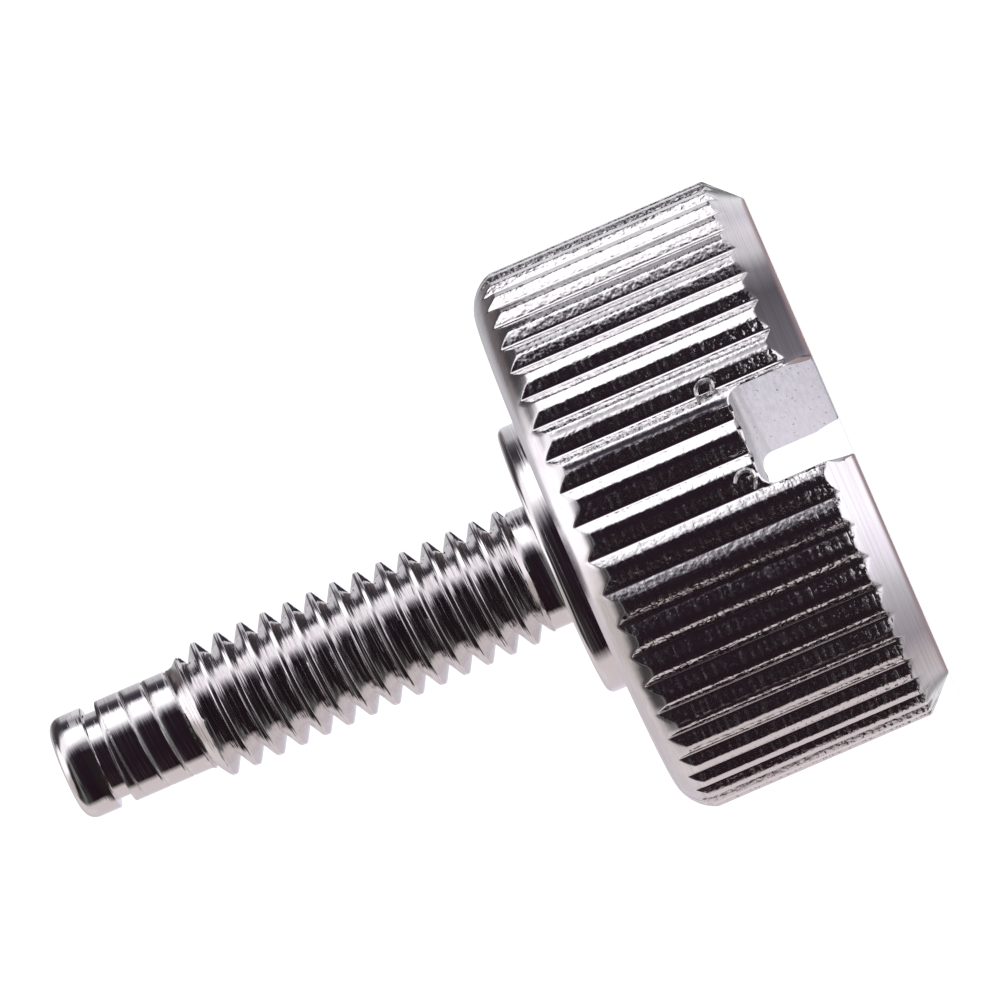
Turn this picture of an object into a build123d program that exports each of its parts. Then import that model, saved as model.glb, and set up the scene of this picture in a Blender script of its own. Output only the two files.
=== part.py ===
"""Hoop knob turned from one bar: knurled and slotted head, collar, threaded shank and dog point.

The knob stands on its slotted outer face. The origin is the centre of that face, +Z runs up the
shank to the dog point, and the slot lies along Y. All lengths are in millimetres.
"""
import os
from math import pi, radians, tan

from build123d import *

# Head, measured over the knurl
head_diameter = 32.3
head_thickness = 16.3
face_chamfer = 1.8
back_edge_width = 1.8
back_edge_height = 1.7
back_step_width = 0.6
back_step_height = 1.0

# Straight knurl: V grooves with a flat land between them
knurl_count = 50
knurl_depth = 0.5
knurl_land_share = 0.28
knurl_angle = 87.3

# Driver slot across the outer face
slot_width = 5.6
slot_depth = 5.1

# Collar under the head, the face that clamps
collar_diameter = 16.0
collar_thickness = 1.5
collar_edge = 0.35

# Unthreaded neck between collar and thread
neck_diameter = 7.08
neck_length = 1.3

# Right-hand 60-degree thread, 18 turns to the inch
thread_diameter = 7.75
thread_pitch = 1.411
thread_length = 20.6
thread_flank_angle = 30
thread_crest_share = 0.2
thread_angle = 25

# Dog point with a groove for a retaining ring
dog_diameter = 6.04
dog_length = 7.6
groove_diameter = 5.1
groove_width = 0.86
groove_from_end = 2.05
dog_edge_width = 0.46
dog_edge_height = 0.7

# How far a cutting shape runs past the surface that it cuts
overrun = 0.1

# Radii
head_radius = head_diameter / 2
collar_radius = collar_diameter / 2
neck_radius = neck_diameter / 2
crest_radius = thread_diameter / 2
dog_radius = dog_diameter / 2
groove_radius = groove_diameter / 2

# Heights above the outer face
collar_top = head_thickness + collar_thickness
neck_top = collar_top + neck_length
thread_top = neck_top + thread_length
dog_top = thread_top + dog_length
groove_top = dog_top - groove_from_end
groove_bottom = groove_top - groove_width

# Thread form: a V groove at the thread angle that leaves a flat crest
flank_slope = tan(radians(thread_flank_angle))
thread_depth = thread_pitch * (1 - thread_crest_share) / (2 * flank_slope)
root_radius = crest_radius - thread_depth
tool_radius = crest_radius + overrun
tool_half = (tool_radius - root_radius) * flank_slope
lead_start = neck_top - thread_pitch
lead_length = thread_length + 2 * thread_pitch

# Knurl form: each groove is cut with a V whose sides run on past the head's surface
knurl_pitch = pi * head_diameter / knurl_count
knurl_half = knurl_pitch * (1 - knurl_land_share) / 2
cutter_reach = knurl_depth + overrun
cutter_half = knurl_half * cutter_reach / knurl_depth

# Threaded rod: the helical groove is cut in over-long bar, and the rod is then trimmed so that the
# thread starts and ends on 45-degree cones, at the dog point and at the neck
with BuildPart(Plane.XY.offset(lead_start - thread_pitch)) as rod:
    Cylinder(crest_radius, lead_length + 2 * thread_pitch, align=(Align.CENTER, Align.CENTER, Align.MIN))
    with BuildLine(Plane.XY) as lead:
        Helix(thread_pitch, lead_length, crest_radius, center=(0, 0, lead_start))
    with BuildSketch(Plane.XZ):
        with BuildLine():
            Polyline(
                (root_radius, lead_start),
                (tool_radius, lead_start - tool_half),
                (tool_radius, lead_start + tool_half),
                close=True,
            )
        make_face()
    sweep(path=lead.line, is_frenet=True, mode=Mode.SUBTRACT)
    with BuildSketch(Plane.XZ):
        with BuildLine():
            Polyline(
                (0, neck_top),
                (neck_radius, neck_top),
                (tool_radius, neck_top + tool_radius - neck_radius),
                (tool_radius, thread_top - tool_radius + dog_radius),
                (dog_radius, thread_top),
                (0, thread_top),
                close=True,
            )
        make_face()
    revolve(axis=Axis.Z, mode=Mode.INTERSECT)

with BuildPart() as knob:
    # Head, collar and neck, turned as one section
    with BuildSketch(Plane.XZ):
        with BuildLine():
            Polyline(
                (0, 0),
                (head_radius - face_chamfer, 0),
                (head_radius, face_chamfer),
                (head_radius, head_thickness - back_edge_height),
                (head_radius - back_step_width, head_thickness - back_edge_height + back_step_height),
                (head_radius - back_edge_width, head_thickness),
                (collar_radius, head_thickness),
                (collar_radius, collar_top - collar_edge),
                (collar_radius - collar_edge, collar_top),
                (neck_radius, collar_top),
                (neck_radius, neck_top),
                (0, neck_top),
                close=True,
            )
        make_face()
    revolve(axis=Axis.Z)

    # Dog point with its ring groove and tapered end
    with BuildSketch(Plane.XZ):
        with BuildLine():
            Polyline(
                (0, thread_top),
                (dog_radius, thread_top),
                (dog_radius, groove_bottom),
                (groove_radius, groove_bottom),
                (groove_radius, groove_top),
                (dog_radius, groove_top),
                (dog_radius, dog_top - dog_edge_height),
                (dog_radius - dog_edge_width, dog_top),
                (0, dog_top),
                close=True,
            )
        make_face()
    revolve(axis=Axis.Z)

    # Thread between neck and dog point
    add(rod.part, rotation=(0, 0, thread_angle))

    # Straight knurl, which runs out on the chamfer and on the back edge
    with BuildSketch(Plane.XY):
        with PolarLocations(head_radius - knurl_depth, knurl_count, start_angle=knurl_angle):
            Polygon((0, 0), (cutter_reach, -cutter_half), (cutter_reach, cutter_half), align=None)
    extrude(amount=head_thickness, mode=Mode.SUBTRACT)

    # Driver slot, through both sides of the rim
    with BuildSketch(Plane.XY):
        Rectangle(slot_width, head_diameter)
    extrude(amount=slot_depth, mode=Mode.SUBTRACT)

knob.part.label = "hoop_knob"
os.makedirs("parts", exist_ok=True)
export_step(knob.part, "parts/hoop_knob.step")
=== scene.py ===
"""Looks of the hoop knob: its knurled and slotted head, collar, threaded shank and dog point.

One mesh stands for the CAD node. It is laid out in millimetres round the Z axis and scaled to metres.
"""

from collections import namedtuple
from math import asin, atan2, cos, degrees, pi, radians, sin, sqrt, tan

import bmesh
import bpy
import numpy as np
from mathutils import Matrix, Vector


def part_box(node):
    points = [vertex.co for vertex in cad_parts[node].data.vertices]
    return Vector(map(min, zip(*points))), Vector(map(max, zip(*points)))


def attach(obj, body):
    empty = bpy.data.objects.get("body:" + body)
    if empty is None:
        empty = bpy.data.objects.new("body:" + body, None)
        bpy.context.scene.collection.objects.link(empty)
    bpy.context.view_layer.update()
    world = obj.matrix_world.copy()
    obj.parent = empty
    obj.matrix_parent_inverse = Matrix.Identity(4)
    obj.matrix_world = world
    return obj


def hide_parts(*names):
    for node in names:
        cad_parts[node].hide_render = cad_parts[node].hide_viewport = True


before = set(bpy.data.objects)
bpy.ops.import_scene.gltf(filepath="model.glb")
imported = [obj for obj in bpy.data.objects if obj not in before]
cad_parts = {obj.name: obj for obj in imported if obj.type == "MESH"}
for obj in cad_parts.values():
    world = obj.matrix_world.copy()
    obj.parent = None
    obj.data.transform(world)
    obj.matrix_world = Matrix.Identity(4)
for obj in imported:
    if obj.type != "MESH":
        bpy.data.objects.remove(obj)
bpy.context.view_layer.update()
low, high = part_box("hoop_knob")
scene = bpy.context.scene

MM = 0.001
SEED = 11
rng = np.random.default_rng(SEED)

# Head: its radius and the whole length come from the frame, and the rest repeats the part's sizes
HEAD_R = (high.y - low.y) / 2 / MM
LENGTH = (high.z - low.z) / MM
HEAD_TOP = 16.3
CHAMFER = 1.8
BACK_W = 1.8
BACK_H = 1.7
BACK_STEP_W = 0.6
BACK_STEP_H = 1.0
FACE_R = HEAD_R - CHAMFER

# Straight knurl
TEETH = 50
TOOTH = 360 / TEETH
KNURL_ANGLE = 87.3
KNURL_DEPTH = 0.43
LAND_SHARE = 0.28
HALF_TOOTH = pi * HEAD_R / TEETH
HALF_GROOVE = HALF_TOOTH * (1 - LAND_SHARE)

# Form of a tooth: how its land is lowered and crowned, and how its corners and the groove are rounded
TOOTH_ERROR = 0.012
LAND_DROP = 0.004
LAND_CROWN = 0.12
LAND_SOFT = 0.022
GROOVE_FILL = 0.03
GROOVE_SOFT = 0.018

# Driver slot, and the widths of its broken edge from the outer face over the chamfer
SLOT_HALF = 2.8
SLOT_DEPTH = 5.1
SLOT_EDGE = 0.08
RIM_EDGES = [0.09, 0.15, 0.24, 0.28, 0.2]
SLOT_FILLET = 0.8

# Collar and neck
COLLAR_R = 8.0
COLLAR_TOP = 17.8
COLLAR_STEP = 0.4
COLLAR_ROUND = 0.42
NECK_R = 3.54
NECK_TOP = 19.1
NECK_FILLET = [(0.25, 0.0), (0.07, 0.05), (0.0, 0.22)]

# Thread
CREST_R = 3.875
PITCH = 1.411
THREAD_TOP = 39.7
FLANK = tan(radians(30))
CREST_SHARE = 0.2
ROOT_R = CREST_R - PITCH * (1 - CREST_SHARE) / (2 * FLANK)
THREAD_ANGLE = 25.0

# Dog point
DOG_R = 3.02
GROOVE_R = 2.55
GROOVE_HI = LENGTH - 2.05
GROOVE_LO = GROOVE_HI - 0.86
TIP_W = 0.46
TIP_H = 0.7
END_RING = 0.7

# Rounding of the drawn edges
CREASE = 0.07
CREASE_RUN = 1.3 * CREASE
EDGE = 0.05


def soft_min(a, b, k):
    """The lower of two heights, with the corner between them rounded over about k."""
    m = np.minimum(a, b)
    return m - k * np.log(np.exp(-(a - m) / k) + np.exp(-(b - m) / k))


def soft_max(a, b, k):
    """The higher of two heights, rounded in the same way."""
    return -soft_min(-np.asarray(a, float), -np.asarray(b, float), k)


# Each tooth has its own small errors of height and depth, as rolled knurls have
tooth_drop = np.abs(rng.normal(0, TOOTH_ERROR, TEETH))
tooth_depth = rng.normal(0, TOOTH_ERROR, TEETH)


def knurl_radius(theta):
    """Radius of the knurled surface at an angle in degrees, away from the chamfers."""
    turn = (np.asarray(theta, float) - KNURL_ANGLE) / TOOTH
    near = np.mod(np.round(turn).astype(int), TEETH)
    land = np.mod(np.floor(turn).astype(int), TEETH)
    across = np.abs(turn - np.round(turn)) * radians(TOOTH) * HEAD_R
    groove = HEAD_R - KNURL_DEPTH - tooth_depth[near]
    wall = groove + (HEAD_R - groove) * across / HALF_GROOVE
    crown = HEAD_R - LAND_DROP - tooth_drop[land] - LAND_CROWN * (HALF_TOOTH - across) ** 2
    r = soft_min(wall, crown, LAND_SOFT)
    return soft_max(r, groove + GROOVE_FILL, GROOVE_SOFT)


def circle_through(p, q, s):
    """Centre and radius of the circle through three points of the head's section."""
    d = 2 * (p[0] * (q[1] - s[1]) + q[0] * (s[1] - p[1]) + s[0] * (p[1] - q[1]))
    sq = [v[0] ** 2 + v[1] ** 2 for v in (p, q, s)]
    cx = (sq[0] * (q[1] - s[1]) + sq[1] * (s[1] - p[1]) + sq[2] * (p[1] - q[1])) / d
    cy = (sq[0] * (s[0] - q[0]) + sq[1] * (p[0] - s[0]) + sq[2] * (q[0] - p[0])) / d
    return cx, cy, sqrt((p[0] - cx) ** 2 + (p[1] - cy) ** 2)


# Back edge of the head: an arc through the three points of the part's section
BACK_START = (HEAD_R, HEAD_TOP - BACK_H)
BACK_MID = (HEAD_R - BACK_STEP_W, HEAD_TOP - BACK_H + BACK_STEP_H)
BACK_END = (HEAD_R - BACK_W, HEAD_TOP)
ARC_X, ARC_Z, ARC_R = circle_through(BACK_START, BACK_MID, BACK_END)
ARC_LAST = atan2(BACK_END[1] - ARC_Z, BACK_END[0] - ARC_X)

# Rows round the outer face's edge, as steps out from it and up, and on the chamfer, as shares of it
FACE_ROWS = [(-0.09, 0.0), (-0.02, 0.018), (0.07, 0.07)]
CHAMFER_ROWS = [0.35, 0.7]

# Heights of the rows on the straight part of the head: up the slot's wall, round the corner to its
# floor, and above that
FIRST_ROW_Z = 2.02
WALL_ROWS = 7
FILLET_Z = SLOT_DEPTH - SLOT_FILLET
FILLET_STEPS = 5
LOW_ROWS = list(np.linspace(FIRST_ROW_Z, FILLET_Z, WALL_ROWS))
for step in range(1, FILLET_STEPS + 1):
    LOW_ROWS.append(FILLET_Z + (SLOT_FILLET + SLOT_EDGE) * sin(pi / 2 * step / FILLET_STEPS))
HIGH_ROWS = [6.0, 7.5, 9.0, 11.0, 13.0]

# Rows on the back edge, as shares of its arc, and the width of the flat ring inside it
BACK_ROWS = [0.2, 0.4, 0.6, 0.8, 0.96]
BACK_RING = 0.5


def half_way(a, corner, c):
    """Middle of the curve that rounds a corner between two points."""
    return tuple(0.25 * p + 0.5 * q + 0.25 * s for p, q, s in zip(a, corner, c))


def head_rows(rk):
    """Section of the head, from the outer face to the back face, for a column of knurl radius rk."""
    rk = np.asarray(rk, float)
    one = np.ones_like(rk)
    z1 = rk - FACE_R
    rows = [(one * (FACE_R + out), one * up) for out, up in FACE_ROWS]
    rows += [(FACE_R + share * z1, share * z1) for share in CHAMFER_ROWS]
    a = (rk - CREASE, z1 - CREASE)
    c = (rk, z1 + CREASE_RUN)
    rows += [a, half_way(a, (rk, z1), c), c]
    rows += [(rk, z * one) for z in LOW_ROWS + HIGH_ROWS]
    bend = np.arccos(np.clip((rk - ARC_X) / ARC_R, -1, 1))
    z2 = ARC_Z + ARC_R * np.sin(bend)
    first = bend + CREASE / ARC_R
    a = (rk, z2 - CREASE_RUN)
    c = (ARC_X + ARC_R * np.cos(first), ARC_Z + ARC_R * np.sin(first))
    rows += [a, half_way(a, (rk, z2), c), c]
    for share in BACK_ROWS:
        at = first + (ARC_LAST - first) * share
        rows.append((ARC_X + ARC_R * np.cos(at), ARC_Z + ARC_R * np.sin(at)))
    rows += [(one * (BACK_END[0] - inset), one * HEAD_TOP) for inset in (EDGE, BACK_RING)]
    return rows


# Rows where the chamfer ends, where the slot's floor lies, and where the back edge begins
CREASE_ROW = len(FACE_ROWS) + len(CHAMFER_ROWS) + 2
SLOT_ROW = CREASE_ROW + len(LOW_ROWS)
BACK_ROW = SLOT_ROW + len(HIGH_ROWS) + 2

# Finding the slot's edge: the first guess in degrees from the slot's middle, and the number of steps
SLOT_GUESS = 10.0
SLOT_TRIES = 40


def slot_turn(row):
    """Angle round the slot's corner at a row of the head: 0 up its wall, a quarter turn at its floor."""
    return pi / 2 * max(row - SLOT_ROW + FILLET_STEPS, 0) / FILLET_STEPS


def slot_x(row, away):
    """Distance from the slot's middle plane to its surface at a row, or to a line that far outside it."""
    return SLOT_HALF - SLOT_FILLET + (SLOT_FILLET + away) * cos(slot_turn(row))


def edge_at(row):
    """Width of the slot's broken edge at a row: broadest on the chamfer."""
    return RIM_EDGES[row] if row < len(RIM_EDGES) else SLOT_EDGE


def slot_angle(end, side, row):
    """Angle where a row of the head meets the slot's edge, at an end (90 or -90) and side (1 or -1)."""
    turn = -side if end > 0 else side
    at = end + turn * SLOT_GUESS
    for _ in range(SLOT_TRIES):
        r = float(head_rows(knurl_radius(np.array([at])))[row][0][0])
        at = end + turn * degrees(asin(slot_x(row, edge_at(row)) / r))
    return at


# Columns across a tooth as shares of it, the least gap in degrees between a column and the slot's
# edge, and how far from the slot the columns bend to follow it
FRACTIONS = [0, 0.025, 0.06, 0.13, 0.22, 0.3, 0.338, 0.36, 0.382, 0.42, 0.46]
FRACTIONS = FRACTIONS + [0.5] + [1 - f for f in FRACTIONS[:0:-1]]
COLUMN_GAP = 0.07
SPREAD = 4.5
standard = np.array([KNURL_ANGLE - 360 + TOOTH * (k + f) for k in range(2 * TEETH) for f in FRACTIONS])


def between(first, last):
    """Angles of the knurl's columns between two angles, clear of both."""
    return standard[(standard > first + COLUMN_GAP) & (standard < last - COLUMN_GAP)]


right = (slot_angle(-90, 1, SLOT_ROW), slot_angle(90, 1, SLOT_ROW))
left = (slot_angle(90, -1, SLOT_ROW), slot_angle(-90, -1, SLOT_ROW) + 360)
runs = [
    np.concatenate(([right[0]], between(*right), [right[1]])),
    between(right[1], left[0]),
    np.concatenate(([left[0]], between(*left), [left[1]])),
    between(left[1], right[0] + 360),
]
column_angle = np.concatenate(runs)
counts = [len(run) for run in runs]
RIGHT_LO, RIGHT_HI = 0, counts[0] - 1
LEFT_LO, LEFT_HI = counts[0] + counts[1], counts[0] + counts[1] + counts[2] - 1
COLUMNS = len(column_angle)

# First and last column of each half, and the slot's end, side and added turn at both
halves = (
    (RIGHT_LO, RIGHT_HI, (-90, 1, 0), (90, 1, 0)),
    (LEFT_LO, LEFT_HI, (90, -1, 0), (-90, -1, 360)),
)

points = []
faces = []
zones = []
BRIGHT, KNURL, TURNED, MILLED, TORN = range(5)


def put(x, y, z):
    """Adds a point of the mesh and gives its number."""
    points.append((x, y, z))
    return len(points) - 1


def put_round(r, angle, z):
    """Adds a point by its radius and its angle in radians."""
    return put(r * cos(angle), r * sin(angle), z)


def face(loop, zone):
    """Adds a face of the mesh with its finish."""
    faces.append(tuple(int(i) for i in loop))
    zones.append(zone)


# Head surface, as a grid of rows and columns; the slot leaves two halves below its floor
full = head_rows(knurl_radius(column_angle))
ROWS = len(full)
grid = -np.ones((ROWS, COLUMNS), int)
for row in range(SLOT_ROW, ROWS):
    r, z = full[row]
    for c in range(COLUMNS):
        grid[row, c] = put_round(r[c], radians(column_angle[c]), z[c])
for lo, hi, lo_end, hi_end in halves:
    for row in range(SLOT_ROW):
        angle = column_angle[lo:hi + 1].copy()
        first = slot_angle(lo_end[0], lo_end[1], row) + lo_end[2]
        last = slot_angle(hi_end[0], hi_end[1], row) + hi_end[2]
        near = angle - angle[0] < SPREAD
        inner = column_angle[lo] + SPREAD
        moved = inner + (angle - inner) * (inner - first) / SPREAD
        angle = np.where(near, moved, angle)
        near = column_angle[hi] - angle < SPREAD
        inner = column_angle[hi] - SPREAD
        moved = inner + (angle - inner) * (last - inner) / SPREAD
        angle = np.where(near, moved, angle)
        r, z = head_rows(knurl_radius(angle))[row]
        for i, c in enumerate(range(lo, hi + 1)):
            grid[row, c] = put_round(r[i], radians(angle[i]), z[i])

for row in range(ROWS - 1):
    zone = TURNED if row < CREASE_ROW - 1 or row >= BACK_ROW else KNURL
    for c in range(COLUMNS):
        d = (c + 1) % COLUMNS
        loop = (grid[row, c], grid[row, d], grid[row + 1, d], grid[row + 1, c])
        if min(loop) >= 0:
            face(loop, zone)

# Outer face: one flat on each side of the slot
for lo, hi, _, _ in halves:
    face([grid[0, c] for c in range(lo, hi + 1)], TURNED)

# Shares of the broken edge's width by which it goes back along the slot and up: row by row at the
# outer face, on the chamfer, and on the rim
FACE_EDGE = [(0.0, 1.0), (0.3, 0.95), (0.5, 0.85)]
CHAMFER_EDGE = (0.7, 0.7)
RIM_EDGE = (1.0, 0.0)


def wall_points(column, side):
    """Edge of the slot's wall along one end of a half, just inside the head's surface."""
    out = []
    for row in range(SLOT_ROW + 1):
        x, y, z = points[grid[row, column]]
        r = sqrt(x * x + y * y)
        edge = edge_at(row)
        if row < len(FACE_EDGE):
            back, up = FACE_EDGE[row]
        elif row < CREASE_ROW:
            back, up = CHAMFER_EDGE
        else:
            back, up = RIM_EDGE
        z -= SLOT_EDGE * sin(slot_turn(row))
        if row == SLOT_ROW:
            z = SLOT_DEPTH
        out.append(put(side * slot_x(row, 0), y * (1 - edge * back / r), z + edge * up))
    return out


walls = {}
for column, side in ((RIGHT_LO, 1), (RIGHT_HI, 1), (LEFT_LO, -1), (LEFT_HI, -1)):
    walls[column] = wall_points(column, side)
    for row in range(SLOT_ROW):
        loop = (grid[row, column], grid[row + 1, column], walls[column][row + 1], walls[column][row])
        face(loop, MILLED)
for lo, hi, _, _ in halves:
    face((grid[0, lo], grid[0, hi], walls[hi][0], walls[lo][0]), MILLED)
    for row in range(SLOT_ROW):
        face((walls[lo][row], walls[lo][row + 1], walls[hi][row + 1], walls[hi][row]), MILLED)

# Slot floor with its two edges on the rim
floor_loop = []
for first, last in ((RIGHT_HI, LEFT_LO), (LEFT_HI, RIGHT_LO + COLUMNS)):
    rim = [c % COLUMNS for c in range(first, last + 1)]
    lip = [walls[rim[0]][-1]]
    for c in rim[1:-1]:
        x, y, _ = points[grid[SLOT_ROW, c]]
        shrink = 1 - SLOT_EDGE / sqrt(x * x + y * y)
        lip.append(put(x * shrink, y * shrink, SLOT_DEPTH))
    lip.append(walls[rim[-1]][-1])
    for i in range(len(rim) - 1):
        loop = (grid[SLOT_ROW, rim[i]], grid[SLOT_ROW, rim[i + 1]], lip[i + 1], lip[i])
        face(loop, MILLED)
    floor_loop += lip
face(floor_loop, MILLED)

# Burrs that the slot's cutter left on the rim: their build, and the least and greatest thickness
# along the slot's walls and along its floor
BURR_SIDES = 7
BURR_LUMPS = 13
BURR_STEPS = 36
LUMP_POWER = 1.5
WALL_BURR = (0.03, 0.13)
WALL_BURR_Z = CHAMFER + 0.05
FLOOR_BURR = (0.03, 0.16)
FLOOR_BURR_Z = SLOT_DEPTH + 0.03


def burr(path, sizes):
    """A closed sliver of metal along a path on the rim, with its own thickness at each point."""
    loops = []
    for i, (spot, size) in enumerate(zip(path, sizes)):
        ahead = (path[min(i + 1, len(path) - 1)] - path[max(i - 1, 0)]).normalized()
        across = ahead.cross(Vector((spot.x, spot.y, 0))).normalized()
        out = across.cross(ahead)
        loop = []
        for k in range(BURR_SIDES):
            turn = 2 * pi * k / BURR_SIDES
            loop.append(put(*(spot + float(size) * (cos(turn) * out + sin(turn) * across))))
        loops.append(loop)
    for a, b in zip(loops, loops[1:]):
        for k in range(BURR_SIDES):
            m = (k + 1) % BURR_SIDES
            face((a[k], a[m], b[m], b[k]), TORN)
    face(loops[0], TORN)
    face(loops[-1], TORN)


def on_rim(angle, z, lift=0.0):
    """A place on the knurl, or that far above it."""
    r = float(knurl_radius(np.array([angle]))[0]) + lift
    return Vector((r * cos(radians(angle)), r * sin(radians(angle)), z))


def lumpy(least, most, count):
    """Random thicknesses that change smoothly from lump to lump."""
    lumps = least + (most - least) * rng.random(BURR_LUMPS) ** LUMP_POWER
    return np.interp(np.linspace(0, BURR_LUMPS - 1, count), range(BURR_LUMPS), lumps)


# Lumps along the slot's edges: coarser at the near end, where the cutter came out
for end, coarse in ((-90, 1.0), (90, 0.5)):
    for side in (1, -1):
        angle = slot_angle(end, side, CREASE_ROW + 1)
        path = [on_rim(angle, z) for z in np.linspace(WALL_BURR_Z, FILLET_Z, BURR_STEPS)]
        burr(path, coarse * lumpy(*WALL_BURR, BURR_STEPS))
    reach = abs(slot_angle(end, 1, SLOT_ROW) - end)
    path = [on_rim(end + a, FLOOR_BURR_Z) for a in np.linspace(-reach, reach, BURR_STEPS)]
    burr(path, coarse * lumpy(*FLOOR_BURR, BURR_STEPS))

# Two slivers bent over the knurl beside the near corners: degrees from the slot's middle, and height
HOOKS = [
    [
        (9.6, 6.54), (12.0, 6.53), (13.3, 6.45), (13.7, 6.03),
        (13.6, 5.61), (12.7, 5.48), (11.5, 5.68), (11.1, 5.98),
    ],
    [(-7.2, 6.5), (-5.8, 6.23), (-5.5, 5.67), (-6.5, 5.33), (-8.5, 5.42), (-9.7, 5.62)],
]
HOOK_SIZE = 0.16
HOOK_LUMPS = (0.7, 1.1)
HOOK_RISE = 0.05
HOOK_STEPS = 28
HOOK_SMOOTHING = 6
HOOK_ENDS = 0.55
HOOK_BELLY = 0.45
HOOK_PHASE = 0.2
for hook in HOOKS:
    along = np.linspace(0, len(hook) - 1, HOOK_STEPS)
    track = np.array([np.interp(along, range(len(hook)), [p[i] for p in hook]) for i in range(2)])
    for _ in range(HOOK_SMOOTHING):
        track[:, 1:-1] = (track[:, :-2] + 2 * track[:, 1:-1] + track[:, 2:]) / 4
    rise = HOOK_RISE * np.sin(np.linspace(0, pi, HOOK_STEPS))
    path = [on_rim(-90 + a, z, lift) for a, z, lift in zip(*track, rise)]
    taper = HOOK_ENDS + HOOK_BELLY * np.sin(np.linspace(HOOK_PHASE, pi - HOOK_PHASE, HOOK_STEPS))
    burr(path, HOOK_SIZE * taper * lumpy(*HOOK_LUMPS, HOOK_STEPS))

# Turned rings round the axis: collar, neck, and the dog point's end
AROUND = 144


def ring(r, z):
    """A ring of points round the axis."""
    return [put_round(r, 2 * pi * j / AROUND, z) for j in range(AROUND)]


def band(a, b, zone):
    """Faces between two rings."""
    for j in range(AROUND):
        k = (j + 1) % AROUND
        face((a[j], a[k], b[k], b[j]), zone)


def bridge(outer, inner, zone):
    """Flat ring of triangles between two loops with different numbers of points."""
    loops = []
    for loop in (outer, inner):
        turns = [atan2(points[i][1], points[i][0]) % (2 * pi) for i in loop]
        order = np.argsort(turns)
        loops.append(([loop[i] for i in order], [turns[i] for i in order]))
    (p, pa), (q, qa) = loops
    i = j = 0
    while i < len(p) or j < len(q):
        next_p = pa[i + 1] if i + 1 < len(p) else pa[0] + 2 * pi
        next_q = qa[j + 1] if j + 1 < len(q) else qa[0] + 2 * pi
        if j >= len(q) or (i < len(p) and next_p <= next_q):
            face((p[i % len(p)], p[(i + 1) % len(p)], q[j % len(q)]), zone)
            i += 1
        else:
            face((p[i % len(p)], q[(j + 1) % len(q)], q[j % len(q)]), zone)
            j += 1


def rounded(r, z, size, steps=4):
    """Points of an outer edge rounded over a quarter turn, from the side to the end face."""
    turns = [pi / 2 * i / steps for i in range(steps + 1)]
    return [(r - size + size * cos(turn), z - size + size * sin(turn)) for turn in turns]


collar = [(COLLAR_R, HEAD_TOP), (COLLAR_R, HEAD_TOP + COLLAR_STEP)]
collar += rounded(COLLAR_R, COLLAR_TOP, COLLAR_ROUND)
collar += [(NECK_R + out, COLLAR_TOP + up) for out, up in NECK_FILLET]
rings = [ring(r, z) for r, z in collar]
bridge(list(grid[ROWS - 1]), rings[0], TURNED)
for lower, upper in zip(rings, rings[1:]):
    band(lower, upper, BRIGHT)

# Threaded shank: rows follow the helix, so that crest and root stay sharp lines all the way round.
# They lie at shares of a pitch from the groove's middle.
PITCH_ROWS = [0, 0.02, 0.045, 0.085, 0.2, 0.36, 0.382, 0.396, 0.412, 0.45]
PITCH_ROWS = PITCH_ROWS + [0.5] + [1 - g for g in PITCH_ROWS[:0:-1]]
ROWS_PER_PITCH = len(PITCH_ROWS)
SHANK_LO = COLLAR_TOP + 0.5
SHANK_HI = GROOVE_LO - 0.25
LEAD_START = NECK_TOP - PITCH - PITCH * THREAD_ANGLE / 360
SPARE_TURNS = 3
TURNS = int((SHANK_HI - LEAD_START) / PITCH) + SPARE_TURNS

# Crest of the thread, lowered, with a shallow dip along its middle; slopes of the thread's two ends
CREST_DROP = 0.004
CREST_DIP = 0.02
CREST_SOFT = 0.045
START_SLOPE = 0.95
END_SLOPE = 0.9
END_SOFT = 0.02

# Marks of the thread's start on the dog point: rows that are torn, the height where the marks fade
# out, their depth, and their widths below and above
MARK_ROWS = (0, ROWS_PER_PITCH - 3, ROWS_PER_PITCH - 2, ROWS_PER_PITCH - 1)
MARK_TOP = GROOVE_LO - 0.6
MARK_DEPTH = 0.09
MARK_BELOW = 0.08
MARK_ABOVE = 0.05


def shank_radius(z, g):
    """Radius of the shank at a height, where g is the share of a pitch from the groove's middle."""
    h = np.minimum(g, 1 - g) * PITCH
    vee = ROOT_R + h / FLANK
    crest = CREST_R - CREST_DROP - CREST_DIP * np.exp(-((h - PITCH / 2) / CREST_SOFT) ** 2)
    thread = soft_min(vee, crest, CREST_SOFT)
    start = DOG_R + (THREAD_TOP - z) * START_SLOPE
    end = NECK_R + (z - NECK_TOP) * END_SLOPE
    thread = soft_min(soft_min(thread, start, END_SOFT), end, END_SOFT)
    fade = np.clip((MARK_TOP - z) / (MARK_TOP - THREAD_TOP), 0, 1)
    width = np.where(g > 0.5, MARK_BELOW, MARK_ABOVE)
    mark = MARK_DEPTH * fade ** 0.5 * np.exp(-(h / width) ** 2)
    plain = np.where(z > (NECK_TOP + THREAD_TOP) / 2, DOG_R - mark, NECK_R)
    return np.where((z > NECK_TOP) & (z < THREAD_TOP), thread, plain)


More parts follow.
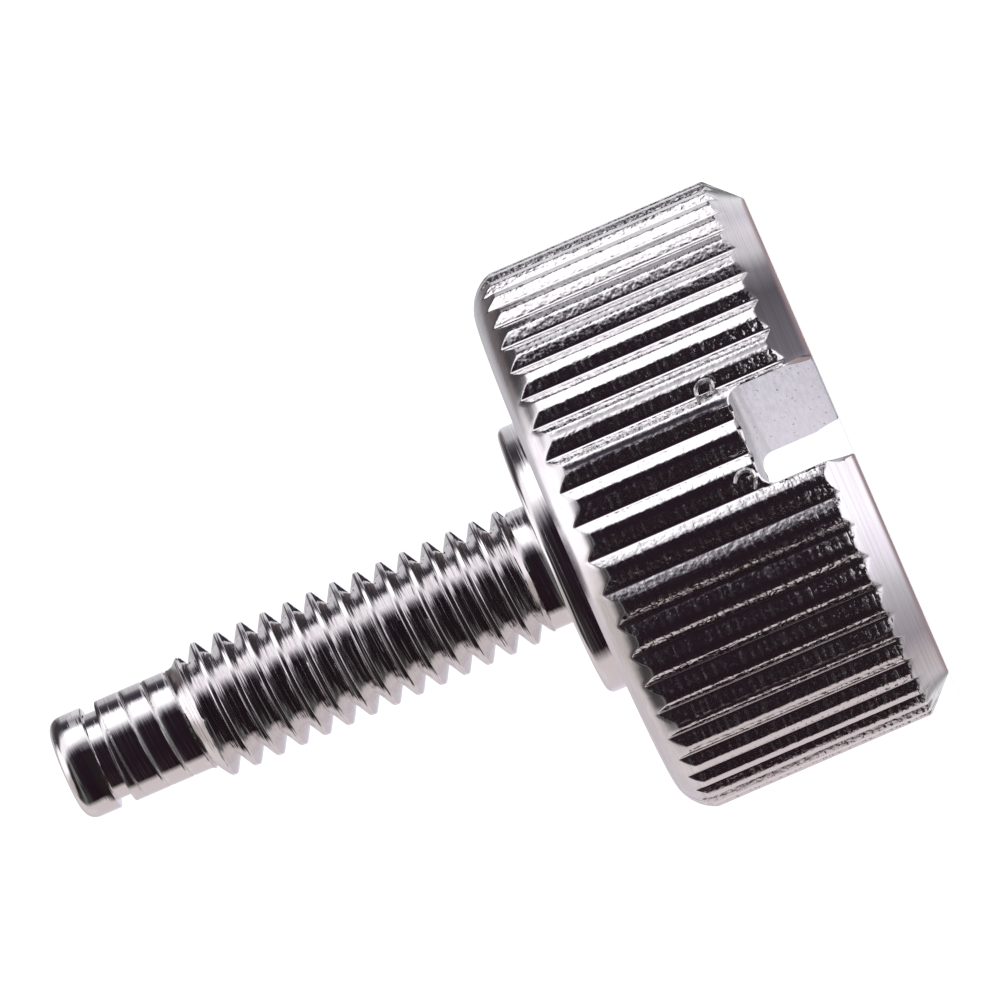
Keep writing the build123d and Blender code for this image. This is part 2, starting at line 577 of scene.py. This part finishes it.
shank = np.zeros((TURNS * ROWS_PER_PITCH, AROUND), int)
for row in range(TURNS * ROWS_PER_PITCH):
    g = PITCH_ROWS[row % ROWS_PER_PITCH]
    for j in range(AROUND):
        z = LEAD_START - PITCH + PITCH * (row // ROWS_PER_PITCH + g + j / AROUND)
        z = min(max(z, SHANK_LO), SHANK_HI)
        if z == SHANK_LO:
            r = NECK_R
        elif z == SHANK_HI:
            r = DOG_R
        else:
            r = float(shank_radius(np.float64(z), np.float64(g)))
        shank[row, j] = put_round(r, 2 * pi * j / AROUND, z)
for row in range(len(shank) - 1):
    for j in range(AROUND):
        up = ROWS_PER_PITCH if j == AROUND - 1 else 0
        k = (j + 1) % AROUND
        if row + 1 + up < len(shank):
            marked = row % ROWS_PER_PITCH in MARK_ROWS and points[shank[row, j]][2] > THREAD_TOP
            zone = TORN if marked else BRIGHT
            face((shank[row, j], shank[row + up, k], shank[row + 1 + up, k], shank[row + 1, j]), zone)
band(rings[-1], ring(NECK_R, SHANK_LO), BRIGHT)

# Dog point: ring groove with broken lips, and a tapered end drawn as a curve over three points
LIP = 0.09
LIP_MID = 0.3 * LIP
TIP_STEPS = 7
TIP_CURVE = [
    (DOG_R, LENGTH - TIP_H - 0.12),
    (DOG_R, LENGTH - 0.18),
    (DOG_R - TIP_W - 0.12, LENGTH),
]
end_section = [(DOG_R, SHANK_HI), (DOG_R, GROOVE_LO - LIP), (DOG_R - LIP_MID, GROOVE_LO - LIP_MID)]
end_section += [(DOG_R - LIP, GROOVE_LO), (GROOVE_R + EDGE, GROOVE_LO), (GROOVE_R, GROOVE_LO + EDGE)]
end_section += [(GROOVE_R, GROOVE_HI - EDGE), (GROOVE_R + EDGE, GROOVE_HI), (DOG_R - LIP, GROOVE_HI)]
end_section += [(DOG_R - LIP_MID, GROOVE_HI + LIP_MID), (DOG_R, GROOVE_HI + LIP)]
for t in np.linspace(0.0, 1.0, TIP_STEPS):
    weights = ((1 - t) ** 2, 2 * t * (1 - t), t ** 2)
    end_section.append(tuple(sum(w * p[k] for w, p in zip(weights, TIP_CURVE)) for k in range(2)))
end_rings = [ring(r, z) for r, z in end_section]
for lower, upper in zip(end_rings, end_rings[1:]):
    band(lower, upper, BRIGHT)
end_face = ring(DOG_R - TIP_W - END_RING, LENGTH)
band(end_rings[-1], end_face, TURNED)
face(end_face, TURNED)

# The mesh, with its doubled points welded and its flat faces kept flat beside rounded edges
WELD = 0.0004
SHARP_ANGLE = 34
FACE_WEIGHT = 60
mesh = bpy.data.meshes.new("hoop_knob_plated")
mesh.from_pydata([(x * MM, y * MM, z * MM) for x, y, z in points], [], faces)
mesh.polygons.foreach_set("material_index", np.array(zones, np.int32))
knob = bpy.data.objects.new("hoop_knob_plated", mesh)
scene.collection.objects.link(knob)

bm = bmesh.new()
bm.from_mesh(mesh)
bmesh.ops.remove_doubles(bm, verts=bm.verts, dist=WELD * MM)
bmesh.ops.recalc_face_normals(bm, faces=bm.faces)
bm.to_mesh(mesh)
bm.free()
mesh.shade_smooth()
mesh.set_sharp_from_angle(angle=radians(SHARP_ANGLE))
even = knob.modifiers.new("flat_faces", "WEIGHTED_NORMAL")
even.keep_sharp = True
even.weight = FACE_WEIGHT


class Nodes:
    """A node tree that is filled by short calls; a value may be a number or another node's output."""

    def __init__(self, tree):
        self.tree = tree
        tree.nodes.clear()

    def add(self, kind, inputs=None, **settings):
        node = self.tree.nodes.new(kind)
        for name, value in settings.items():
            setattr(node, name, value)
        for name, value in (inputs or {}).items():
            self.set(node.inputs[name], value)
        return node

    def set(self, socket, value):
        if isinstance(value, bpy.types.NodeSocket):
            self.tree.links.new(value, socket)
        else:
            socket.default_value = value

    def math(self, operation, a, b=0.0):
        return self.add("ShaderNodeMath", {0: a, 1: b}, operation=operation).outputs[0]

    def plus(self, a, b):
        return self.math("ADD", a, b)

    def times(self, a, b):
        return self.math("MULTIPLY", a, b)

    def ramp(self, value, start, end, first=0.0, last=1.0):
        """Smooth step of a value from first to last between start and end."""
        inputs = {"Value": value, "From Min": start, "From Max": end, "To Min": first, "To Max": last}
        return self.add("ShaderNodeMapRange", inputs, interpolation_type="SMOOTHSTEP").outputs["Result"]

    def fade(self, value, start, end):
        """Smooth step of a value from 1 to 0 between start and end."""
        return self.ramp(value, start, end, 1.0, 0.0)

    def noise(self, vector, scale=1.0, detail=2.0, roughness=0.5):
        inputs = {"Vector": vector, "Scale": scale, "Detail": detail, "Roughness": roughness}
        return self.add("ShaderNodeTexNoise", inputs).outputs["Fac"]

    def vector(self, x, y, z=0.0):
        return self.add("ShaderNodeCombineXYZ", {"X": x, "Y": y, "Z": z}).outputs[0]

    def stretched(self, values, scales):
        """Vector of two or three values, each times its own scale."""
        return self.vector(*(self.times(value, scale) for value, scale in zip(values, scales)))

    def along(self, place, direction):
        """How far a place or a look lies along a direction."""
        inputs = {0: place, 1: direction}
        return self.add("ShaderNodeVectorMath", inputs, operation="DOT_PRODUCT").outputs["Value"]

    def mix(self, share, a, b):
        """Mix of two colours: all of the second one where the share is 1."""
        node = self.add("ShaderNodeMix", {"Factor": share}, data_type="RGBA")
        self.set(node.inputs["A"], a)
        self.set(node.inputs["B"], b)
        return node.outputs["Result"]

    def panels(self, bearing, stops):
        """Colours by bearing, from a list of bearings in degrees with their colours."""
        node = self.add("ShaderNodeValToRGB", {"Fac": bearing})
        elements = node.color_ramp.elements
        while len(elements) < len(stops):
            elements.new(0.5)
        for element, stop in zip(elements, stops):
            element.position = (stop[0] + 180) / 360
        for element, stop in zip(elements, stops):
            element.color = (*stop[1:], 1)
        return node.outputs["Color"]

    def finish(self, kind, surface):
        """Leads a surface or a background to the tree's output."""
        self.set(self.add(kind).inputs["Surface"], surface)


Place = namedtuple("Place", "x y z radius angle all")


def plating(name, tint, roughness):
    """A bright plated metal, with its object coordinates in millimetres and round the axis."""
    material = bpy.data.materials.new(name)
    material.use_nodes = True
    n = Nodes(material.node_tree)
    shader = n.add("ShaderNodeBsdfPrincipled")
    shader.inputs["Base Color"].default_value = tint
    shader.inputs["Metallic"].default_value = 1.0
    shader.inputs["Roughness"].default_value = roughness
    n.finish("ShaderNodeOutputMaterial", shader.outputs[0])
    metres = n.add("ShaderNodeSeparateXYZ", {0: n.add("ShaderNodeTexCoord").outputs["Object"]})
    x, y, z = (n.times(metres.outputs[i], 1 / MM) for i in range(3))
    radius = n.math("SQRT", n.plus(n.times(x, x), n.times(y, y)))
    place = Place(x, y, z, radius, n.math("ARCTAN2", y, x), n.vector(x, y, z))
    return material, n, shader, place


def bump(n, shader, height, depth_mm):
    """Relief on a metal: a height from 0 to 1 stands for that depth."""
    node = n.add("ShaderNodeBump", {"Height": height, "Strength": 1.0, "Distance": depth_mm * MM})
    n.set(shader.inputs["Normal"], node.outputs[0])


# Colours of the metal: plain, in and between turning marks, in the slot with painted shade in its pits,
# torn, and painted shade in spots on the torn metal
PLAIN_METAL = (0.83, 0.81, 0.82, 1)
MARK_DARK = (0.73, 0.71, 0.73, 1)
MARK_LIGHT = (0.88, 0.86, 0.88, 1)
SLOT_METAL = (0.85, 0.84, 0.87, 1)
SLOT_PIT_SHADE = (0.25, 0.23, 0.26, 1)
TORN_METAL = (0.88, 0.87, 0.88, 1)
TORN_SHADE_SPOT = (0.04, 0.03, 0.04, 1)

# Depth in millimetres of each finish's relief
BRIGHT_RELIEF = 0.016
KNURL_RELIEF = 0.02
TURNED_RELIEF = 0.006
MILLED_RELIEF = 0.006
TORN_RELIEF = 0.03

# Shank and collar: mirror plating over turning marks that run along the helix, deeper on the thread
MARKS_PER_PITCH = 9.0
MARKS_PER_TURN = 5.0
MARK_RAMP = (0.3, 0.7)
THREAD_IN = (NECK_TOP, NECK_TOP + 0.5)
THREAD_OUT = (THREAD_TOP - 0.4, THREAD_TOP)
PLAIN_SHARE = 0.2
CLOUD_SCALE = 1.4
CLOUD_SHARE = 0.12
HAZE_SCALE = 1.3
HAZE_RAMP = (0.35, 0.75)
BRIGHT_ROUGHNESS = (0.03, 0.075)
bright, n, shader, at = plating("bright_plating", PLAIN_METAL, roughness=0.06)
round_share = n.times(at.angle, 1 / (2 * pi))
lead = n.math("SUBTRACT", n.times(n.math("SUBTRACT", at.z, LEAD_START), 1 / PITCH), round_share)
turns = n.plus(n.math("FLOOR", lead), round_share)
scratch = n.stretched((n.math("FRACT", lead), turns), (MARKS_PER_PITCH, MARKS_PER_TURN))
marks = n.ramp(n.noise(scratch, detail=1.0), *MARK_RAMP)
on_thread = n.times(n.ramp(at.z, *THREAD_IN), n.fade(at.z, *THREAD_OUT))
depth = n.plus(n.times(on_thread, 1 - PLAIN_SHARE), PLAIN_SHARE)
cloud = n.noise(at.all, CLOUD_SCALE)
bump(n, shader, n.plus(n.times(marks, depth), n.times(cloud, CLOUD_SHARE)), BRIGHT_RELIEF)
haze = n.noise(at.all, HAZE_SCALE, detail=4.0)
n.set(shader.inputs["Roughness"], n.ramp(haze, *HAZE_RAMP, *BRIGHT_ROUGHNESS))

# Knurl: rough flanks with chatter ticks and flecks across them, and smoother lands. The flanks are
# shares of a tooth, and the scales are changes per tooth and per millimetre along it.
UPPER_IN = (0.52, 0.66)
UPPER_OUT = (0.88, 0.97)
LOWER_IN = (0.03, 0.12)
LOWER_OUT = (0.34, 0.50)
PATCH_SCALE = (7.3, 0.8)
PATCH_RAMP = (0.36, 0.62)
PATCH_RANGE = (0.1, 1.0)
SHIFT_SCALE = (1.0, 0.7)
SHIFT_SIZE = 14.0
CHATTER_PITCH = 0.52
CHATTER_GRAIN = 1.6
CHATTER_RAMP = (1.1, 1.7)
GRAIN_SCALE = (7.0, 2.6)
FLECK_SCALE = (11.0, 5.0)
FLECK_RAMP = (0.56, 0.68)
UPPER_GRAIN = 1.1
LOWER_GRAIN = 2.4
LAND_GRAIN = 0.15
TICK_HEIGHT = 0.16
FLECK_HEIGHT = 0.12
TICK_DULL = 0.15
FLECK_DULL = 0.17
KNURL_ROUGHNESS = 0.08
knurl, n, shader, at = plating("knurled_plating", PLAIN_METAL, roughness=0.1)
turn = n.times(n.math("SUBTRACT", at.angle, radians(KNURL_ANGLE)), TEETH / (2 * pi))
tooth = n.math("FRACT", n.plus(turn, float(TEETH)))
whole = n.math("FLOOR", n.plus(turn, 0.5))
upper_flank = n.times(n.ramp(tooth, *UPPER_IN), n.fade(tooth, *UPPER_OUT))
lower_flank = n.times(n.ramp(tooth, *LOWER_IN), n.fade(tooth, *LOWER_OUT))
flanks = n.plus(upper_flank, lower_flank)
patch = n.ramp(n.noise(n.stretched((whole, at.z), PATCH_SCALE)), *PATCH_RAMP, *PATCH_RANGE)
shift = n.times(n.noise(n.stretched((whole, at.z), SHIFT_SCALE)), SHIFT_SIZE)
wave = n.math("SINE", n.plus(n.times(at.z, 2 * pi / CHATTER_PITCH), shift))
grain = n.noise(n.stretched((turn, at.z), GRAIN_SCALE), detail=1.0)
fine = n.noise(n.stretched((turn, at.z), FLECK_SCALE))
chatter = n.ramp(n.plus(wave, n.times(grain, CHATTER_GRAIN)), *CHATTER_RAMP)
ticks = n.times(n.times(chatter, patch), flanks)
flecks = n.times(n.ramp(fine, *FLECK_RAMP), flanks)
grain_depth = n.plus(n.times(upper_flank, UPPER_GRAIN), n.times(lower_flank, LOWER_GRAIN))
height = n.plus(n.times(ticks, TICK_HEIGHT), n.times(grain, n.plus(grain_depth, LAND_GRAIN)))
bump(n, shader, n.plus(height, n.times(flecks, FLECK_HEIGHT)), KNURL_RELIEF)
dull = n.plus(n.times(ticks, TICK_DULL), n.times(flecks, FLECK_DULL))
n.set(shader.inputs["Roughness"], n.plus(dull, KNURL_ROUGHNESS))

# Chamfers and flats: satin plating over circular turning marks
RINGS_PER_MM = 7.0
RING_CHANGE = 1.5
RING_RAMP = (0.36, 0.6)
BLOTCH_SCALE = 0.7
BLOTCH_RAMP = (0.3, 0.7)
BLOTCH_SHARE = 0.15
TURNED_ROUGHNESS = (0.17, 0.23)
turned, n, shader, at = plating("turned_plating", PLAIN_METAL, roughness=0.2)
ways = [n.times(n.math("DIVIDE", v, at.radius), RING_CHANGE) for v in (at.x, at.y)]
groove = n.vector(n.times(n.plus(at.radius, at.z), RINGS_PER_MM), *ways)
fine = n.noise(groove, detail=4.0, roughness=0.65)
blotch = n.noise(at.all, BLOTCH_SCALE, detail=3.0)
bump(n, shader, n.plus(fine, n.times(blotch, BLOTCH_SHARE)), TURNED_RELIEF)
n.set(shader.inputs["Base Color"], n.mix(n.ramp(fine, *RING_RAMP), MARK_DARK, MARK_LIGHT))
n.set(shader.inputs["Roughness"], n.ramp(blotch, *BLOTCH_RAMP, *TURNED_ROUGHNESS))

# Slot: milled, duller, with scratches along it and small pits, darkened with painted shade
SCRATCH_SCALE = (6.0, 0.3, 6.0)
SCRATCH_RAMP = (0.3, 0.7)
SCRATCH_SHARE = 0.25
PIT_SCALE = (5.0, 0.7, 5.0)
PIT_RAMP = (0.27, 0.33)
PIT_SHARE = 0.5
MILLED_ROUGHNESS = (0.16, 0.24)
milled, n, shader, at = plating("milled_plating", PLAIN_METAL, roughness=0.2)
scratches = n.noise(n.stretched((at.x, at.y, at.z), SCRATCH_SCALE), detail=3.0)
pit_relief_and_shade = n.ramp(n.noise(n.stretched((at.x, at.y, at.z), PIT_SCALE), detail=1.0), *PIT_RAMP)
bump(n, shader, n.plus(n.times(scratches, SCRATCH_SHARE), n.times(pit_relief_and_shade, PIT_SHARE)), MILLED_RELIEF)
# Painted shade: the pits are darkened in the colour as well as in relief
n.set(shader.inputs["Base Color"], n.mix(pit_relief_and_shade, SLOT_PIT_SHADE, SLOT_METAL))
n.set(shader.inputs["Roughness"], n.ramp(scratches, *SCRATCH_RAMP, *MILLED_ROUGHNESS))

# Burrs: torn metal, dull and lumpy, with painted shade in dark spots along the slot, fainter on the bent
# slivers
LUMP_SCALE = 7.0
SPOT_SCALE = 2.4
SPOT_RAMP = (0.41, 0.47)
HOOKS_IN = (SLOT_DEPTH + 0.15, SLOT_DEPTH + 0.4)
HOOKS_UNSHADED = 0.6
torn, n, shader, at = plating("torn_plating", TORN_METAL, roughness=0.36)
bump(n, shader, n.noise(at.all, LUMP_SCALE), TORN_RELIEF)
unshaded = n.ramp(n.noise(at.all, SPOT_SCALE, detail=1.0), *SPOT_RAMP)
unshaded = n.math("MAXIMUM", unshaded, n.ramp(at.z, *HOOKS_IN, last=HOOKS_UNSHADED))
unshaded = n.math("MAXIMUM", unshaded, n.ramp(at.z, HEAD_TOP, COLLAR_TOP))
# Painted shade: the dark spots stand for shadows in the torn metal
n.set(shader.inputs["Base Color"], n.mix(unshaded, TORN_SHADE_SPOT, TORN_METAL))

for material in (bright, knurl, turned, milled, torn):
    mesh.materials.append(material)
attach(knob, "root")
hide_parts("hoop_knob")

# Camera: level with the outer face's plane, rolled as the photograph is
IMAGE_WIDTH = 1000
CAMERA_TURN = radians(-7.2)
CAMERA_AWAY = 445.0
CAMERA_HEIGHT = 0.1
AIM_ACROSS = 4.335
AIM_HEIGHT = 19.1
PIXELS_PER_MM = 17.98
ROLL = radians(113.4)
toward = Vector((sin(CAMERA_TURN), -cos(CAMERA_TURN), 0))
across_view = Vector((cos(CAMERA_TURN), sin(CAMERA_TURN), 0))
camera_data = bpy.data.cameras.new("camera")
camera_data.sensor_width = 36.0
camera_data.lens = PIXELS_PER_MM * CAMERA_AWAY * camera_data.sensor_width / IMAGE_WIDTH
camera_data.clip_start = 0.01
camera_data.clip_end = 50.0
camera = bpy.data.objects.new("camera", camera_data)
scene.collection.objects.link(camera)
eye = toward * CAMERA_AWAY + Vector((0, 0, CAMERA_HEIGHT))
aim = across_view * AIM_ACROSS + Vector((0, 0, AIM_HEIGHT))
back = (eye - aim).normalized()
side = Vector((0, 0, 1)).cross(back).normalized()
upright = back.cross(side)
right_axis = side * cos(ROLL) - upright * sin(ROLL)
up_axis = side * sin(ROLL) + upright * cos(ROLL)
turn_matrix = Matrix((right_axis, up_axis, back)).transposed()
camera.matrix_world = Matrix.Translation(eye * MM) @ turn_matrix.to_4x4()
scene.camera = camera

# Studio panels for the reflections, by bearing in degrees from the camera's side towards +X
PANELS = [
    (-180, 0.80, 0.78, 0.85),
    (-162, 0.76, 0.73, 0.80),
    (-145, 0.69, 0.62, 0.64),
    (-99, 0.70, 0.62, 0.62),
    (-85, 0.016, 0.008, 0.012),
    (26, 0.018, 0.010, 0.016),
    (35, 0.06, 0.05, 0.065),
    (42, 0.30, 0.28, 0.32),
    (50, 0.85, 0.84, 0.86),
    (60, 1.55, 1.53, 1.55),
    (85, 1.55, 1.53, 1.56),
    (91, 0.75, 0.74, 0.78),
    (98, 0.05, 0.04, 0.06),
    (112, 0.05, 0.045, 0.055),
    (122, 0.15, 0.14, 0.16),
    (131, 0.52, 0.51, 0.54),
    (165, 0.74, 0.73, 0.76),
    (179, 0.80, 0.78, 0.85),
]

# Near the horizon, where only the head sees it, the gap beside the bright panel and the far side are
# paler
PALER = {
    98: (0.55, 0.54, 0.57),
    112: (0.34, 0.33, 0.35),
    122: (0.52, 0.51, 0.53),
    131: (0.74, 0.73, 0.75),
    165: (0.86, 0.85, 0.88),
}
LOW_PANELS = [(bearing, *PALER.get(bearing, colour)) for bearing, *colour in PANELS]

# The same studio above eye level
UPPER_PANELS = [
    (-180, 0.60, 0.57, 0.62),
    (-150, 0.64, 0.59, 0.61),
    (-118, 0.76, 0.70, 0.70),
    (-96, 0.68, 0.62, 0.62),
    (-82, 0.06, 0.05, 0.05),
    (-30, 0.02, 0.015, 0.018),
    (10, 0.03, 0.025, 0.03),
    (32, 0.05, 0.045, 0.05),
    (44, 0.40, 0.38, 0.41),
    (58, 1.10, 1.08, 1.10),
    (82, 1.10, 1.08, 1.10),
    (96, 0.24, 0.22, 0.24),
    (106, 0.05, 0.045, 0.05),
    (134, 0.05, 0.045, 0.05),
    (150, 0.14, 0.11, 0.11),
    (165, 0.17, 0.15, 0.16),
    (173, 0.42, 0.41, 0.43),
    (179, 0.56, 0.55, 0.58),
]

# Higher up still, its dark side is a soft grey
SOFT_GREY = 0.17
DARK_SIDE = 40
HIGH_PANELS = []
for bearing, *colour in UPPER_PANELS:
    least = SOFT_GREY if bearing < DARK_SIDE else 0.0
    HIGH_PANELS.append((bearing, *(max(value, least) for value in colour)))

# Straight overhead, on the bright panel's side and on the other
OVERHEAD = (1.3, 1.24, 1.28, 1)
OVERHEAD_FAR = (0.56, 0.51, 0.49, 1)

# Painted light and shade on the floor next to the head: bright and dark bands by bearing that the chamfer
# sees in its reflections
NEAR_FLOOR_PAINTED_LIGHT = [
    (-180, 0.14, 0.14, 0.145),
    (-166, 0.85, 0.84, 0.86),
    (-150, 0.95, 0.94, 0.96),
    (-141, 0.10, 0.10, 0.105),
    (-122, 0.08, 0.08, 0.085),
    (-112, 0.90, 0.89, 0.91),
    (-94, 0.85, 0.84, 0.86),
    (-84, 0.30, 0.29, 0.30),
    (-75, 0.60, 0.56, 0.58),
    (-62, 0.52, 0.47, 0.48),
    (-52, 0.36, 0.33, 0.36),
    (-44, 0.45, 0.42, 0.45),
    (-36, 0.62, 0.60, 0.63),
    (-27, 1.00, 0.95, 1.03),
    (-16, 1.28, 1.23, 1.29),
    (14, 1.28, 1.24, 1.28),
    (20, 0.20, 0.18, 0.21),
    (38, 0.12, 0.11, 0.125),
    (45, 0.25, 0.23, 0.26),
    (51, 0.68, 0.66, 0.68),
    (60, 0.82, 0.78, 0.82),
    (68, 0.70, 0.67, 0.73),
    (84, 0.86, 0.86, 0.87),
    (96, 0.15, 0.15, 0.155),
    (116, 0.10, 0.10, 0.105),
    (124, 0.95, 0.94, 0.96),
    (146, 1.00, 0.99, 1.01),
    (154, 0.20, 0.20, 0.205),
    (179, 0.14, 0.14, 0.145),
]

# Painted shade on the floor under the head's edge, and paler painted shade further in, where the slot
# sees it
PAINTED_SHADE_UNDER_HEAD = (0.38, 0.29, 0.30, 1)
PAINTED_SHADE_UNDER_SLOT = (0.52, 0.50, 0.55, 1)

# Painted light and shade on the floor a little way off: bands by bearing which the thread's lower flanks
# see
MID_FLOOR_PAINTED_LIGHT = [
    (-180, 0.78, 0.76, 0.82),
    (-165, 0.62, 0.58, 0.63),
    (-150, 0.62, 0.56, 0.58),
    (-128, 0.78, 0.72, 0.74),
    (-118, 0.70, 0.64, 0.65),
    (-108, 0.08, 0.07, 0.07),
    (-85, 0.02, 0.015, 0.015),
    (26, 0.02, 0.015, 0.018),
    (42, 0.30, 0.28, 0.32),
    (50, 0.85, 0.84, 0.86),
    (60, 1.25, 1.25, 1.26),
    (85, 1.25, 1.25, 1.27),
    (98, 0.05, 0.04, 0.06),
    (112, 0.07, 0.06, 0.07),
    (130, 0.74, 0.73, 0.76),
    (148, 0.74, 0.73, 0.76),
    (156, 0.05, 0.04, 0.06),
    (172, 0.03, 0.025, 0.04),
    (177, 0.55, 0.54, 0.57),
    (179, 0.78, 0.76, 0.82),
]

# Distances from the axis, in millimetres, over which one part of the floor turns into the next
SLOT_TO_HEAD = (FACE_R - 1.0, FACE_R - 0.4)
HEAD_TO_NEAR = (FACE_R + 0.05, FACE_R + 0.25)
NEAR_TO_MID = (1.4 * HEAD_R, 2.6 * HEAD_R)
MID_TO_FAR = (250, 600)

# Heights of a look, from 0 on the horizon to 1 overhead, over which the studio changes
LOW_TO_PANELS = (0.034, 0.042)
PANELS_TO_UPPER = (0.07, 0.22)
UPPER_TO_HIGH = (0.30, 0.42)
HIGH_TO_UPPER = (0.48, 0.60)
UPPER_TO_OVERHEAD = (0.79, 0.92)
FAR_TO_NEAR_SIDE = (-0.22, 0.06)

# Share of a turn by which the panels lean from the horizon to overhead
SLANT = 0.08

# What the camera sees itself: a pale floor and a white surround
FLOOR_PAINT = (0.9, 0.9, 0.9, 1)
SURROUND = (1.15, 1.15, 1.15, 1)


def bearing_of(n, place):
    """Bearing of a direction or place from the camera's side, as a share of a turn from -180 degrees."""
    turn = n.math("ARCTAN2", n.along(place, across_view), n.along(place, toward))
    return n.plus(n.times(turn, 1 / (2 * pi)), 0.5)


def floor_change(n, away, change):
    """Share of a change between two distances on the floor."""
    return n.ramp(away, change[0] * MM, change[1] * MM)


# Floor: pale, wide, just below the outer face, and white paint to the eye; in the metal's reflections it
# glows, though it is no lamp, with painted light and painted shade that stand for the panels' light on it
FLOOR_REACH = 6.0
FLOOR_DROP = 0.02
floor_mesh = bpy.data.meshes.new("floor")
corners = [(x * FLOOR_REACH, y * FLOOR_REACH, 0) for x, y in ((-1, -1), (1, -1), (1, 1), (-1, 1))]
floor_mesh.from_pydata(corners, [], [(0, 1, 2, 3)])
floor = bpy.data.objects.new("floor", floor_mesh)
scene.collection.objects.link(floor)
floor.location.z = -FLOOR_DROP * MM
floor_paint = bpy.data.materials.new("floor_white")
floor_paint.use_nodes = True
n = Nodes(floor_paint.node_tree)
spot = n.add("ShaderNodeNewGeometry").outputs["Position"]
bearing = bearing_of(n, spot)
away = n.add("ShaderNodeVectorMath", {0: spot}, operation="LENGTH").outputs["Value"]
# Glow colour for reflections only: painted shade under the slot and the head, painted light and shade in
# bands further out
painted_light = n.mix(floor_change(n, away, SLOT_TO_HEAD), PAINTED_SHADE_UNDER_SLOT, PAINTED_SHADE_UNDER_HEAD)
painted_light = n.mix(floor_change(n, away, HEAD_TO_NEAR), painted_light, n.panels(bearing, NEAR_FLOOR_PAINTED_LIGHT))
painted_light = n.mix(floor_change(n, away, NEAR_TO_MID), painted_light, n.panels(bearing, MID_FLOOR_PAINTED_LIGHT))
painted_light = n.mix(floor_change(n, away, MID_TO_FAR), painted_light, n.panels(bearing, LOW_PANELS))
# The floor glows in reflections with this painted light and shade
glow = n.add("ShaderNodeEmission", {"Color": painted_light, "Strength": 1.0})
paint = n.add("ShaderNodeBsdfDiffuse", {"Color": FLOOR_PAINT})
glossy = n.add("ShaderNodeLightPath").outputs["Is Glossy Ray"]
seen = n.add("ShaderNodeMixShader", {0: glossy, 1: paint.outputs[0], 2: glow.outputs[0]})
n.finish("ShaderNodeOutputMaterial", seen.outputs[0])
floor_mesh.materials.append(floor_paint)

# Studio: white to the eye, and the panels round the knob for its reflections
world = bpy.data.worlds.new("studio")
scene.world = world
world.use_nodes = True
n = Nodes(world.node_tree)
look = n.add("ShaderNodeTexCoord").outputs["Generated"]
height = n.add("ShaderNodeSeparateXYZ", {0: look}).outputs["Z"]
bearing = n.plus(bearing_of(n, look), n.times(height, SLANT))
overhead = n.mix(n.ramp(n.along(look, across_view), *FAR_TO_NEAR_SIDE), OVERHEAD_FAR, OVERHEAD)
sky = n.mix(n.ramp(height, *LOW_TO_PANELS), n.panels(bearing, LOW_PANELS), n.panels(bearing, PANELS))
sky = n.mix(n.ramp(height, *PANELS_TO_UPPER), sky, n.panels(bearing, UPPER_PANELS))
slope = n.times(n.ramp(height, *UPPER_TO_HIGH), n.fade(height, *HIGH_TO_UPPER))
sky = n.mix(slope, sky, n.panels(bearing, HIGH_PANELS))
sky = n.mix(n.ramp(height, *UPPER_TO_OVERHEAD), sky, overhead)
glossy = n.add("ShaderNodeLightPath").outputs["Is Glossy Ray"]
background = n.add("ShaderNodeBackground", {"Color": n.mix(glossy, SURROUND, sky), "Strength": 1.0})
n.finish("ShaderNodeOutputWorld", background.outputs[0])

scene.view_settings.view_transform = "Standard"
